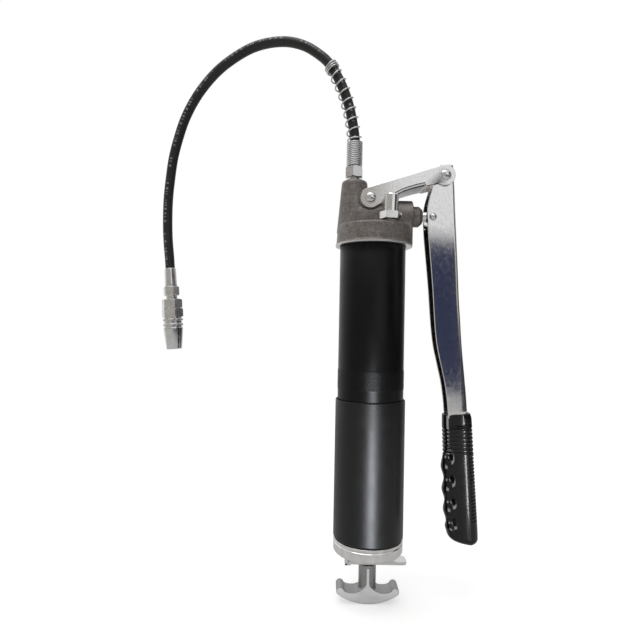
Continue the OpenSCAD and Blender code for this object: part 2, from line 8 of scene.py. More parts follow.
import bpy
import numpy as np
from mathutils import Matrix, Vector


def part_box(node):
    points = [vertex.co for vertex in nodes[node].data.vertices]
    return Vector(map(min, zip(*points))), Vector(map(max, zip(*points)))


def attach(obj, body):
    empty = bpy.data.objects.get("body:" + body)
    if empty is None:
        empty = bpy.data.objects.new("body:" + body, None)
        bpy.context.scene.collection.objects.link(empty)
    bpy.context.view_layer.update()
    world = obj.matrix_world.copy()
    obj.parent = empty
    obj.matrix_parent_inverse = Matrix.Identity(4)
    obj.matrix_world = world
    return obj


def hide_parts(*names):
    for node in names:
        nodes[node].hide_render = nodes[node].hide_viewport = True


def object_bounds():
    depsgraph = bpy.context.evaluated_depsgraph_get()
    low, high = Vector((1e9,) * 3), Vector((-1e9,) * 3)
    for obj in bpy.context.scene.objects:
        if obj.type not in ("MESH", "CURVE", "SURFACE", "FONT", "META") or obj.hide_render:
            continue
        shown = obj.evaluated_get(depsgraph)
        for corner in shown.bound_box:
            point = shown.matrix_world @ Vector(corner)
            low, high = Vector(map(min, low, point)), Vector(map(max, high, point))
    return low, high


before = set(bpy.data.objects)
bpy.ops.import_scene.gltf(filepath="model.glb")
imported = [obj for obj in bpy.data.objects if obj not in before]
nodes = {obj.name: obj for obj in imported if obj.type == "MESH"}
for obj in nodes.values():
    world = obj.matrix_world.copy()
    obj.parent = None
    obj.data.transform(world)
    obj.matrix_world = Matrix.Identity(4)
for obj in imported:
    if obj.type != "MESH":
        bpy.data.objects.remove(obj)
cad_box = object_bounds()

scene = bpy.context.scene
MM = 0.001


# ---------- Sizes shared with part.scad, in millimetres ----------

HOSE_ROUTE = [
    (-17.5, 0, 284), (-17.5, 0, 287), (-19.3, 0, 299), (-23, 0.5, 316), (-29, 1, 333),
    (-37, 2, 349), (-41.2, 2.8, 354.9), (-48, 4, 362), (-62, 6.5, 372), (-78, 10, 378),
    (-95, 13.5, 379), (-112, 17, 376), (-128, 20, 368.5), (-143, 23, 358.5), (-156, 26, 346),
    (-167, 28.5, 331.5), (-176, 31, 315), (-182.5, 33.5, 297.5), (-187.5, 35.5, 279), (-190.5, 37.5, 260),
    (-192.5, 39, 241), (-193, 40, 222), (-192.5, 41, 203), (-190.8, 41.8, 184), (-190, 42, 174.5),
]
HOSE_R = 4.4
FULCRUM = (-4, 232)
LEVER_PIVOT = (59.7, 252.5)
PLUNGER_PIVOT = (50, 217.1)
PLUNGER_Z = 218.9
LINK_W = 27.6
LEVER_W = 22
SHEET = 1.8
FITTING_X = -17.5


def node_mm(name):
    """Lowest and highest corner of a CAD node, in millimetres."""
    low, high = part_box(name)
    return low / MM, high / MM


# ---------- Camera ----------

def make_camera():
    data = bpy.data.cameras.new("camera")
    data.sensor_width = 36
    data.lens = 28.125
    camera = bpy.data.objects.new("camera", data)
    scene.collection.objects.link(camera)
    right = Vector((0.9999, -0.0003, 0.0194))
    up = Vector((-0.0194, -0.0179, 0.9998))
    forward = Vector((0, 0.9998, 0.0179))
    turn = Matrix((right, up, -forward)).transposed().to_4x4()
    camera.matrix_world = Matrix.Translation((-0.0451, -0.4377, 0.11905)) @ turn
    scene.camera = camera


make_camera()


# ---------- Shader helpers ----------

# Sockets of the Mix node when it mixes colours
MIX_FACTOR, MIX_A, MIX_B, MIX_RESULT = 0, 6, 7, 2


def add_node(tree, kind, inputs=(), **settings):
    """A node with its inputs, each either linked to a socket or set to a value."""
    made = tree.nodes.new(kind)
    for key, value in settings.items():
        setattr(made, key, value)
    for key, value in dict(inputs).items():
        if isinstance(value, bpy.types.NodeSocket):
            tree.links.new(value, made.inputs[key])
        else:
            made.inputs[key].default_value = value
    return made


class Shader:
    """A material with one Principled shader and short ways to add the nodes that feed it."""

    def __init__(self, name, colour, metallic=0.0, roughness=0.5, coat=0.0, specular=0.5):
        self.material = bpy.data.materials.new(name)
        self.material.use_nodes = True
        self.tree = self.material.node_tree
        self.bsdf = self.tree.nodes["Principled BSDF"]
        self.set("Base Color", (*colour, 1))
        self.set("Metallic", metallic)
        self.set("Roughness", roughness)
        self.set("Coat Weight", coat)
        self.set("Coat Roughness", 0.12)
        self.set("Specular IOR Level", specular)
        self.bump_out = None

    def set(self, socket, value):
        self.bsdf.inputs[socket].default_value = value

    def node(self, kind, inputs=(), **settings):
        return add_node(self.tree, kind, inputs, **settings)

    def place(self, stretch=(1, 1, 1)):
        """The point on the piece in metres, stretched along the axes."""
        where = self.node("ShaderNodeTexCoord").outputs["Object"]
        return self.node("ShaderNodeMapping", {"Vector": where, "Scale": stretch}).outputs["Vector"]

    def noise(self, size_mm, detail=3, stretch=(1, 1, 1), rough=0.55):
        made = self.node("ShaderNodeTexNoise", {
            "Vector": self.place(stretch), "Scale": 1 / (size_mm * MM),
            "Detail": detail, "Roughness": rough,
        })
        return made.outputs["Fac"]

    def attribute(self, name):
        return self.node("ShaderNodeAttribute", attribute_name=name).outputs["Fac"]

    def ramp(self, fac, *stops):
        """A colour ramp: stops are (position, colour or grey)."""
        made = self.node("ShaderNodeValToRGB", {"Fac": fac})
        elements = made.color_ramp.elements
        while len(elements) < len(stops):
            elements.new(0.5)
        for element, (position, colour) in zip(elements, stops):
            element.position = position
            grey = not hasattr(colour, "__len__")
            element.color = (colour, colour, colour, 1) if grey else (*colour, 1)
        return made.outputs["Color"]

    def scaled(self, fac, low, high, from_low=0.3, from_high=0.7):
        """fac mapped from its own span to low..high."""
        return self.node("ShaderNodeMapRange", {
            "Value": fac, "From Min": from_low, "From Max": from_high, "To Min": low, "To Max": high,
        }).outputs["Result"]

    def mix(self, fac, a, b, blend="MIX"):
        """Two colours mixed; each may be a socket or three numbers."""
        a, b = (c if isinstance(c, bpy.types.NodeSocket) else (*c, 1) for c in (a, b))
        inputs = {MIX_FACTOR: fac, MIX_A: a, MIX_B: b}
        return self.node("ShaderNodeMix", inputs, data_type="RGBA", blend_type=blend).outputs[MIX_RESULT]

    def math(self, operation, a, b=0.0):
        return self.node("ShaderNodeMath", {0: a, 1: b}, operation=operation).outputs[0]

    def feed(self, socket, source):
        self.tree.links.new(source, self.bsdf.inputs[socket])

    def bump(self, height, depth_mm, strength=1.0):
        """Adds a bump on top of the ones before it."""
        made = self.node("ShaderNodeBump", {
            "Height": height, "Distance": depth_mm * MM, "Strength": strength,
        })
        if self.bump_out is not None:
            self.tree.links.new(self.bump_out, made.inputs["Normal"])
        self.bump_out = made.outputs["Normal"]
        self.tree.links.new(self.bump_out, self.bsdf.inputs["Normal"])


# ---------- Materials ----------

def cast_metal():
    s = Shader("cast_head", (0.27, 0.245, 0.228), metallic=0.55, roughness=0.5)
    blotch = s.noise(9, 4)
    grain = s.noise(1.5, 5, rough=0.75)
    tone = s.ramp(blotch, (0.3, (0.2, 0.178, 0.165)), (0.7, (0.34, 0.312, 0.294)))
    speck = s.ramp(grain, (0.36, 0.5), (0.64, 1.1))
    cast = s.mix(1.0, tone, speck, "MULTIPLY")
    ground_and_painted_reflection = s.attribute("ground_and_painted_reflection")
    s.feed("Base Color", s.mix(ground_and_painted_reflection, cast, (0.66, 0.65, 0.64)))
    s.feed("Metallic", s.scaled(ground_and_painted_reflection, 0.55, 0.95, 0, 1))
    s.feed("Roughness", s.mix(ground_and_painted_reflection, s.scaled(grain, 0.34, 0.6), (0.3, 0.3, 0.3)))
    s.bump(s.noise(2.6, 3), 0.14)
    s.bump(grain, 0.2)
    return s.material


def black_gloss():
    s = Shader("black_gloss", (0.0014, 0.0014, 0.0016), roughness=0.32, specular=0.2)
    s.feed("Roughness", s.scaled(s.noise(14, 4), 0.29, 0.37))
    s.bump(s.noise(1.8, 2), 0.006)
    return s.material


def black_satin():
    s = Shader("black_satin", (0.004, 0.004, 0.004), roughness=0.38, specular=0.36)
    grain = s.noise(0.5, 3, rough=0.6)
    s.feed("Roughness", s.scaled(s.noise(11, 5), 0.33, 0.42))
    s.feed("Base Color", s.ramp(grain, (0.3, 0.0025), (0.75, (0.0065, 0.0063, 0.0062))))
    s.bump(grain, 0.018)
    s.bump(s.noise(1.7, 3, rough=0.7), 0.045)
    return s.material


def chrome():
    """Bright plating over hand-polished sheet; an attribute marks the side painted with a dark, streaky
    reflection.
    """
    s = Shader("chrome", (0.8, 0.79, 0.78), metallic=1, roughness=0.1)
    wear = s.noise(3.2, 5, rough=0.65)
    fine = s.noise(0.7, 4, (1, 1, 0.35))
    s.feed("Roughness", s.scaled(wear, 0.06, 0.14))
    plate = s.ramp(fine, (0.32, (0.7, 0.69, 0.68)), (0.6, (0.83, 0.82, 0.81)))
    # Painted dark reflection: the streaky dark blue below stands for dark surroundings mirrored on the marked
    # side.
    drawn = s.noise(2.2, 4, (0.35, 1, 1))
    painted_dark_reflection = s.ramp(drawn, (0.42, (0.012, 0.014, 0.03)), (0.68, (0.13, 0.135, 0.16)))
    s.feed("Base Color", s.mix(s.attribute("ground_and_painted_reflection"), plate, painted_dark_reflection))
    s.bump(s.noise(9, 2), 0.007)
    s.bump(s.noise(1.7, 4, rough=0.7), 0.0045)
    s.bump(fine, 0.0008)
    return s.material


def polished_steel():
    s = Shader("polished_steel", (0.74, 0.735, 0.73), metallic=1, roughness=0.14)
    s.feed("Roughness", s.scaled(s.noise(2.4, 4), 0.1, 0.22))
    s.bump(s.noise(1.4, 3), 0.004)
    return s.material


def zinc():
    """Bright zinc plating on turned steel, with faint tool lines and cloudy patches."""
    s = Shader("zinc", (0.72, 0.725, 0.72), metallic=1, roughness=0.24)
    cloud = s.noise(4.5, 5, rough=0.65)
    lines = s.noise(0.5, 2, (0.06, 0.06, 1))
    s.feed("Base Color", s.ramp(cloud, (0.3, (0.6, 0.6, 0.585)), (0.68, (0.79, 0.79, 0.785))))
    s.feed("Roughness", s.scaled(cloud, 0.11, 0.22))
    s.bump(lines, 0.0015)
    return s.material


def bright_zinc():
    """Polished pressing with a thin bright plating."""
    s = Shader("bright_zinc", (0.8, 0.79, 0.78), metallic=1, roughness=0.15)
    cloud = s.noise(5, 4, (1, 1, 0.5))
    s.feed("Base Color", s.ramp(cloud, (0.3, (0.72, 0.71, 0.69)), (0.7, (0.86, 0.855, 0.85))))
    s.feed("Roughness", s.scaled(cloud, 0.1, 0.2))
    s.bump(s.noise(7, 2), 0.01)
    return s.material


def plain_steel():
    s = Shader("steel", (0.56, 0.55, 0.54), metallic=1, roughness=0.3)
    s.feed("Roughness", s.scaled(s.noise(3, 4), 0.22, 0.38))
    s.bump(s.noise(0.8, 2), 0.004)
    return s.material


def spring_steel():
    s = Shader("spring_steel", (0.66, 0.66, 0.655), metallic=1, roughness=0.22)
    s.feed("Roughness", s.scaled(s.noise(1.5, 3), 0.15, 0.3))
    return s.material


def cast_aluminium():
    """Grey tumbled casting whose flat faces are bright from grinding; an attribute marks them."""
    s = Shader("cast_aluminium", (0.42, 0.42, 0.42), metallic=0.85, roughness=0.4)
    grain = s.noise(0.8, 4, rough=0.7)
    ground_and_painted_reflection = s.attribute("ground_and_painted_reflection")
    dull = s.ramp(grain, (0.3, (0.3, 0.3, 0.3)), (0.7, (0.44, 0.438, 0.435)))
    scratch = s.noise(3.5, 4, (0.35, 1, 1))
    bright = s.ramp(scratch, (0.3, (0.84, 0.84, 0.86)), (0.7, (0.96, 0.96, 0.98)))
    s.feed("Base Color", s.mix(ground_and_painted_reflection, dull, bright))
    s.feed("Roughness", s.scaled(ground_and_painted_reflection, 0.42, 0.3, 0, 1))
    s.bump(grain, 0.05)
    return s.material


def brass():
    s = Shader("brass", (0.55, 0.38, 0.16), metallic=1, roughness=0.28)
    s.feed("Roughness", s.scaled(s.noise(2.5, 3), 0.2, 0.36))
    return s.material


def seal_rubber():
    s = Shader("seal_rubber", (0.012, 0.012, 0.012), roughness=0.6)
    s.bump(s.noise(0.6, 3), 0.02)
    return s.material


def hose_rubber():
    """Black cover with a faint broken lay line along it; lay and along are set on the mesh."""
    s = Shader("hose_rubber", (0.011, 0.011, 0.011), roughness=0.45)
    line = s.scaled(s.attribute("lay"), 0, 1, 0.955, 0.975)
    along = s.node("ShaderNodeCombineXYZ", {"X": s.attribute("along")}).outputs[0]
    dash = s.node("ShaderNodeTexNoise", {"Vector": along, "Scale": 420, "Detail": 1}).outputs["Fac"]
    gap = s.node("ShaderNodeTexNoise", {"Vector": along, "Scale": 55, "Detail": 0}).outputs["Fac"]
    mark = s.math("MULTIPLY", s.scaled(dash, 0, 1, 0.5, 0.54), s.scaled(gap, 0, 1, 0.42, 0.46))
    mark = s.math("MULTIPLY", s.math("MULTIPLY", mark, line), 0.5)
    cover = s.ramp(s.noise(6, 3), (0.3, 0.009), (0.7, 0.014))
    s.feed("Base Color", s.mix(mark, cover, (0.5, 0.5, 0.5)))
    s.feed("Roughness", s.scaled(s.noise(4, 4), 0.38, 0.52))
    s.bump(s.noise(0.9, 3), 0.02)
    return s.material


def grip_plastic():
    s = Shader("grip_plastic", (0.0022, 0.0022, 0.0024), roughness=0.16, specular=0.42)
    s.feed("Roughness", s.scaled(s.noise(6, 4), 0.14, 0.2))
    s.bump(s.noise(2.2, 2), 0.008)
    return s.material


FINISH = {
    "cast_head": cast_metal(),
    "black_gloss": black_gloss(),
    "black_satin": black_satin(),
    "chrome": chrome(),
    "polished_steel": polished_steel(),
    "zinc": zinc(),
    "steel": plain_steel(),
    "spring_steel": spring_steel(),
    "cast_aluminium": cast_aluminium(),
    "brass": brass(),
    "seal_rubber": seal_rubber(),
    "hose_rubber": hose_rubber(),
    "grip_plastic": grip_plastic(),
}


# ---------- Mesh helpers ----------

def build(name, points, faces, finish, body, stands_for=(), sharp=35, place=None):
    """A mesh piece from points in millimetres that rides on a body and stands for CAD nodes."""
    mesh = bpy.data.meshes.new(name)
    spots = [Vector(p) for p in points]
    if place is not None:
        spots = [place @ p for p in spots]
    mesh.from_pydata([p * MM for p in spots], [], faces)
    mesh.validate()
    mesh.update()
    piece = bpy.data.objects.new(name, mesh)
    scene.collection.objects.link(piece)
    return settle(piece, finish, body, stands_for, sharp)


def settle(piece, finish, body, stands_for, sharp=35):
    piece.data.materials.clear()
    piece.data.materials.append(FINISH[finish])
    piece.data.shade_smooth()
    if sharp:
        piece.data.set_sharp_from_angle(angle=math.radians(sharp))
    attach(piece, body)
    if stands_for:
        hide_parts(*stands_for)
    return piece


def soften(piece, width_mm, segments=3, angle=40):
    """Rounds a piece's sharp edges."""
    bevel = piece.modifiers.new("soften", "BEVEL")
    bevel.width = width_mm * MM
    bevel.segments = segments
    bevel.limit_method = "ANGLE"
    bevel.angle_limit = math.radians(angle)
    bevel.harden_normals = False
    return piece


def join(*parts):
    """Several (points, faces) as one."""
    points, faces = [], []
    for part_points, part_faces in parts:
        first = len(points)
        points += part_points
        faces += [[first + i for i in face] for face in part_faces]
    return points, faces


def moved(part, place):
    points, faces = part
    return [place @ Vector(p) for p in points], faces


def rounded(outline, radius, steps=4):
    """An open outline whose inner corners are rounded; an entry may end with its own radius."""
    flat = [Vector(p[:2]) for p in outline]
    made = [flat[0]]
    for i in range(1, len(flat) - 1):
        r = outline[i][2] if len(outline[i]) > 2 else radius
        before, here, after = flat[i - 1], flat[i], flat[i + 1]
        a, b = (before - here), (after - here)
        half = a.angle(b) / 2 if a.length and b.length else math.pi / 2
        if r <= 0 or half > math.radians(88):
            made.append(here)
            continue
        reach = min(r / math.tan(half), a.length * 0.48, b.length * 0.48)
        start, end = here + a.normalized() * reach, here + b.normalized() * reach
        for k in range(steps + 1):
            t = k / steps
            made.append(start * (1 - t) ** 2 + here * 2 * t * (1 - t) + end * t ** 2)
    made.append(flat[-1])
    return made


def turned(profile, steps=96):
    """A profile of (radius, height) turned about Z. Radius 0 closes it at a point."""
    rings, points, faces = [], [], []
    for r, z in profile:
        if r < 1e-6:
            rings.append([len(points)])
            points.append(Vector((0, 0, z)))
            continue
        rings.append(list(range(len(points), len(points) + steps)))
        for k in range(steps):
            a = 2 * math.pi * k / steps
            points.append(Vector((r * math.cos(a), r * math.sin(a), z)))
    for low, high in zip(rings, rings[1:]):
        for k in range(steps):
            j = (k + 1) % steps
            if len(low) == 1 and len(high) > 1:
                faces.append([low[0], high[j], high[k]])
            elif len(high) == 1 and len(low) > 1:
                faces.append([low[k], low[j], high[0]])
            elif len(low) > 1:
                faces.append([low[k], low[j], high[j], high[k]])
    return points, faces


def ring_turned(profile, steps=96):
    """A closed profile turned about Z, as for a ring or a sleeve."""
    return turned(list(profile) + [profile[0]], steps)


def solid_turned(profile, radius=0.3, steps=96):
    """A solid of revolution with rounded corners, from bottom centre to top centre."""
    return turned(rounded(profile, radius), steps)


def hexagon(corners, low, high, chamfer=0.13, steps=12):
    """A hexagonal solid round Z with chamfered ends, as on a nut."""
    across = corners / 2 * math.cos(math.pi / 6)
    edge = corners / 2 * (1 - chamfer)
    rings = [[], [], [], []]
    for k in range(6 * steps):
        a = 2 * math.pi * k / (6 * steps)
        r = across / math.cos(a % (math.pi / 3) - math.pi / 6)
        drop = max(0.0, r - edge) * math.tan(math.radians(32))
        top_r = min(edge, r)
        for ring, (rr, z) in zip(rings, ((top_r, low), (r, low + drop), (r, high - drop), (top_r, high))):
            ring.append(Vector((rr * math.cos(a), rr * math.sin(a), z)))
    count = 6 * steps
    points = [p for ring in rings for p in ring]
    faces = []
    for i in range(3):
        for k in range(count):
            j = (k + 1) % count
            faces.append([i * count + k, i * count + j, (i + 1) * count + j, (i + 1) * count + k])
    faces.append(list(range(count))[::-1])
    faces.append([3 * count + k for k in range(count)])
    return points, faces


def smooth_line(route, spacing):
    """Points along a smooth curve through the route, about spacing apart."""
    line = [Vector(p) for p in route]
    made = []
    for i in range(len(line) - 1):
        a = line[max(i - 1, 0)]
        b, c = line[i], line[i + 1]
        d = line[min(i + 2, len(line) - 1)]
        count = max(1, round((c - b).length / spacing))
        for k in range(count):
            t = k / count
            made.append(0.5 * (2 * b + (c - a) * t + (2 * a - 5 * b + 4 * c - d) * t ** 2
                               + (3 * b - a - 3 * c + d) * t ** 3))
    return made + [line[-1]]


def frames_along(line, side=Vector((0, 1, 0))):
    """For each point of a line, two directions square to it that turn as little as they can."""
    made = []
    for i in range(len(line)):
        ahead = (line[min(i + 1, len(line) - 1)] - line[max(i - 1, 0)]).normalized()
        side = (side - side.dot(ahead) * ahead).normalized()
        made.append((side, ahead.cross(side)))
    return made


def swept(line, radius, sides=12, side=Vector((0, 1, 0))):
    """A round bar along a line, with closed ends."""
    points, faces = [], []
    for centre, (u, v) in zip(line, frames_along(line, side)):
        for k in range(sides):
            a = 2 * math.pi * k / sides
            points.append(centre + (u * math.cos(a) + v * math.sin(a)) * radius)
    for i in range(len(line) - 1):
        for k in range(sides):
            j = (k + 1) % sides
            a, b = i * sides + k, i * sides + j
            faces.append([a, b, b + sides, a + sides])
    last = (len(line) - 1) * sides
    faces.append([k for k in range(sides)][::-1])
    faces.append([last + k for k in range(sides)])
    return points, faces


def helix(radius, low, high, turns, steps=28, centre=(0, 0)):
    """The centre line of an upright coil spring."""
    count = int(turns * steps)
    return [
        Vector((centre[0] + radius * math.cos(2 * math.pi * k / steps),
                centre[1] + radius * math.sin(2 * math.pi * k / steps),
                low + (high - low) * k / count))
        for k in range(count + 1)
    ]


def set_attribute(piece, name, values):
    made = piece.data.attributes.new(name, "FLOAT", "POINT")
    made.data.foreach_set("value", values)


def eased(x, low, high):
    """0 below low, 1 above high and smooth between."""
    t = min(1.0, max(0.0, (x - low) / (high - low)))
    return t * t * (3 - 2 * t)


def along_x(z):
    """Turns a shape drawn along Z so that it lies along +X at this height."""
    return Matrix.Translation((0, 0, z)) @ Matrix.Rotation(math.pi / 2, 4, "Y")


COUPLER = Matrix.Translation(HOSE_ROUTE[-1]) @ Matrix.Rotation(math.radians(-4.4), 4, "Y")
BLEEDER = Matrix.Translation((12, -22.4, 211.3)) @ Matrix.Rotation(math.radians(2), 4, "Y")


# ---------- Hose and its fittings ----------

def make_hose():
    line = smooth_line(HOSE_ROUTE, 1.6)
    sides = 28
    points, faces = swept(line, HOSE_R, sides)
    hose = build("whip_hose", points, faces, "hose_rubber", "gun_body", ["hose"], sharp=60)
    travelled, lay, along = 0.0, [], []
    for i, p in enumerate(line):
        travelled += (p - line[i - 1]).length if i else 0
        front = math.radians(180 + 14 * math.sin(travelled / 60))
        for k in range(sides):
            lay.append(math.cos(2 * math.pi * k / sides - front))
            along.append(travelled * MM)
    set_attribute(hose, "lay", lay)
    set_attribute(hose, "along", along)
    return hose, line, travelled


def make_guard(line):
    """Coil guard: closed turns on the ferrule, open turns up the hose, closed again at the end."""
    wire_r, foot_r, foot_top, steps = 0.7, 6.4, 284, 28
    open_pitch, close_pitch, first_pitch = 8.7, 1.9, 1.65
    closed = helix(foot_r, 262.3, 283.3, 13, steps, (FITTING_X, 0))
    lengths = [0.0]
    for a, b in zip(line, line[1:]):
        lengths.append(lengths[-1] + (b - a).length)
    frames = frames_along(line)
    start = closed[-1] - Vector((FITTING_X, 0, foot_top))
    angle = math.atan2(start.dot(frames[0][1]), start.dot(frames[0][0]))
    total, end_close = 73.6, 68.4
    path = list(closed)
    travelled, sign = 0.4, -1 if frames[0][0].cross(frames[0][1]).z < 0 else 1
    while travelled < total:
        pitch = open_pitch if travelled < end_close else close_pitch
        if travelled < 8:
            pitch = first_pitch + (open_pitch - first_pitch) * eased(travelled, 0.4, 4)
        angle += sign * 2 * math.pi / steps
        travelled += pitch / steps
        i = next(k for k in range(len(lengths)) if lengths[k] > travelled) - 1
        t = (travelled - lengths[i]) / (lengths[i + 1] - lengths[i])
        centre = line[i].lerp(line[i + 1], t)
        u, v = frames[i]
        radius = foot_r - 0.55 * eased(travelled, 0, 6)
        slack = Vector((-0.5, 0, -0.2)) * eased(travelled, 0, 6)
        path.append(centre + slack + (u * math.cos(angle) + v * math.sin(angle)) * radius)
    points, faces = swept(path, wire_r, 10, Vector((0, 0, 1)))
    return build("coil_guard", points, faces, "spring_steel", "gun_body", ["spring_guard"], sharp=60)


def make_hose_fitting():
    place = Matrix.Translation((FITTING_X, 0, 0))
    stem = solid_turned([
        (0, 240), (4.85, 240), (4.85, 248.9), (4.7, 249.1), (4.7, 250.6), (4.4, 250.9), (4.4, 251.4),
        (4.7, 251.7), (4.7, 253.2), (5.0, 260.2), (5.0, 284), (0, 284),
    ], 0.25)
    nut = moved(hexagon(16.4, 252.2, 261.3), Matrix.Rotation(math.radians(20), 4, "Z"))
    piece = build("hose_end_fitting", *moved(join(stem, nut), place), "zinc", "gun_body", ["hose_fitting"])
    return soften(piece, 0.25)


def make_coupler_stem():
    """Ferrule crimped in eight flutes, hexagon, neck and the thread inside the body."""
    steps, flutes = 96, 8
    rows = [(4.5, 0.0), (5.0, -0.15), (5.2, -0.6), (5.3, -1.6), (5.35, -3.0), (5.65, -15.0),
            (5.75, -16.6), (5.7, -17.4), (5.2, -17.9)]
    points = []
    for r, z in rows:
        depth = 0.32 * eased(-z, 1.2, 3.5) * (1 - eased(-z, 14.5, 16.8))
        for k in range(steps):
            a = 2 * math.pi * k / steps
            rr = r - depth * (0.5 + 0.5 * math.cos(flutes * a)) ** 2
            points.append(Vector((rr * math.cos(a), rr * math.sin(a), z)))
    faces = []
    for i in range(len(rows) - 1):
        for k in range(steps):
            j = (k + 1) % steps
            faces.append([i * steps + j, i * steps + k, (i + 1) * steps + k, (i + 1) * steps + j])
    faces.append(list(range(steps)))
    faces.append([(len(rows) - 1) * steps + k for k in range(steps)][::-1])
    nut = hexagon(15.2, -26.4, -17.6, 0.16)
    neck = solid_turned([(0, -37.8), (4.8, -37.8), (4.8, -30.4), (5.2, -30), (5.2, -26), (0, -26)], 0.2)
    piece = build("coupler_ferrule", *join((points, faces), nut, neck), "zinc", "gun_body",
                  ["coupler_stem"], place=COUPLER)
    return soften(piece, 0.25)


def make_coupler_body():
    nut = hexagon(19.6, -38.4, -29.9, 0.12)
    tube = ring_turned([(3.2, -50), (7.5, -50), (7.5, -38.2), (3.2, -38.2)])
    piece = build("coupler_hexagon", *join(nut, tube), "zinc", "gun_body", ["coupler_body"], place=COUPLER)
    return soften(piece, 0.25)


def make_coupler_sleeve():
    """Collar, two notched beads and the tapered nose with its mouth."""
    collar = hexagon(20.4, -47, -38.8, 0.1)
    steps = 144
    outside = rounded([
        (3.9, -77.5), (6.6, -77.5, 0.6), (7.15, -76.9, 0.5), (9.15, -58.2, 0.7), (9.1, -57.2, 0.4),
        (8.45, -56.6, 0.3), (8.45, -55.4, 0.2), (9.45, -54.8, 0.6), (9.45, -53.6, 0.6), (8.45, -53.0, 0.2),
        (8.45, -50.8, 0.2), (9.45, -50.1, 0.6), (9.45, -48.9, 0.6), (8.45, -48.2, 0.2), (8.45, -46.2),
        (7.55, -46.2), (7.55, -57.0), (7.1, -58.0), (5.3, -74.4), (3.9, -74.4), (3.9, -77.5),
    ], 0.0)
    points, faces = turned([(p[0], p[1]) for p in outside[:-1]] + [tuple(outside[0])], steps)
    notched = []
    for p in points:
        r = math.hypot(p.x, p.y)
        in_bead = r > 8.9 and -56 < p.z < -47.5
        notch = 0.75 * max(0.0, math.cos(6 * math.atan2(p.y, p.x))) ** 6 if in_bead else 0
        notched.append(Vector((p.x * (1 - notch / max(r, 1)), p.y * (1 - notch / max(r, 1)), p.z)))
    piece = build("coupler_nose", *join(collar, (notched, faces)), "zinc", "gun_body",
                  ["coupler_sleeve"], place=COUPLER)
    return soften(piece, 0.2)


# Coil springs as (piece, mean radius, wire radius, low, high, turns, place)
SPRINGS = {
    "follower_spring": ("follower_coil", 21, 1.1, -69.2, 183.9, 16, None),
    "latch_spring": ("latch_coil", 5.6, 0.35, -79.1, -76.6, 2, None),
    "outlet_spring": ("outlet_coil", 2.9, 0.4, 230.8, 239.9, 5, Matrix.Translation((-17, 0, 0))),
    "bleeder_spring": ("bleeder_coil", 2.4, 0.35, 2.6, 11.1, 5, BLEEDER),
    "coupler_spring": ("coupler_coil", 5.4, 0.5, -55.9, -50.1, 3, COUPLER),
    "coupler_check_spring": ("coupler_check_coil", 2.1, 0.3, -49.9, -44.4, 4, COUPLER),
}


def make_spring(node):
    name, radius, wire_r, low, high, turns, place = SPRINGS[node]
    line = helix(radius, low + wire_r, high - wire_r, turns)
    points, faces = swept(line, wire_r, 10, Vector((0, 0, 1)))
    return build(name, points, faces, "spring_steel", "gun_body", [node], sharp=60, place=place)


springs = {node: make_spring(node) for node in SPRINGS}
hose, hose_line, hose_length = make_hose()
guard = make_guard(hose_line)
make_hose_fitting()
coupler_stem = make_coupler_stem()
coupler_body = make_coupler_body()
coupler_sleeve = make_coupler_sleeve()


# ---------- Barrel, sleeve, cap and latch ----------

def make_barrel():
    """Tube with a diamond-knurled band above the sleeve."""
    low, high = node_mm("barrel_tube")
    outer, inner, steps, pitch = 28.5, 27.0, 480, 2.24
    band_low, band_high = 68, 85
    rows = [(inner, low.z), (outer - 0.3, low.z), (outer, low.z + 0.3), (outer, band_low - 0.5)]
    rows += [(outer, band_low + 0.4 * i) for i in range(round((band_high - band_low) / 0.4) + 1)]
    rows += [(outer, band_high + 0.9), (outer, high.z - 0.3), (outer - 0.3, high.z), (inner, high.z)]
    points, faces = ring_turned(rows, steps)
    knurled = []
    for p in points:
        r = math.hypot(p.x, p.y)
        if band_low <= p.z <= band_high and r > outer - 0.1:
            around = math.atan2(p.y, p.x) * 80 / (2 * math.pi)
            up = (p.z - band_low) / pitch
            peaks = abs(math.sin(math.pi * (around + up)) * math.sin(math.pi * (around - up)))
            ends = eased(p.z, band_low, band_low + 0.6) * (1 - eased(p.z, band_high - 0.6, band_high))
            scale = 1 + (0.06 + 0.24 * peaks * ends) / r
            p = Vector((p.x * scale, p.y * scale, p.z))
        knurled.append(p)
    return build("barrel", knurled, faces, "black_gloss", "gun_body", ["barrel_tube"], sharp=50)


def make_sleeve():
    profile = rounded([
        (28.6, -59), (29.5, -59, 0.5), (30.2, -57.9, 0.8), (30.2, 58.4, 0.6), (29.9, 59, 0.3),
        (29.3, 59, 0.25), (29.2, 58.2), (29.2, -57), (28.6, -57.4), (28.6, -59),
    ], 0)
    points, faces = turned(profile, 192)
    return build("sleeve", points, faces, "black_satin", "gun_body", ["grip_sleeve"])


def block(low, high):
    """A box as points and faces."""
    points = [
        Vector((x, y, z))
        for x in (low[0], high[0]) for y in (low[1], high[1]) for z in (low[2], high[2])
    ]
    return points, [[0, 1, 3, 2], [4, 6, 7, 5], [0, 4, 5, 1], [2, 3, 7, 6], [0, 2, 6, 4], [1, 5, 7, 3]]


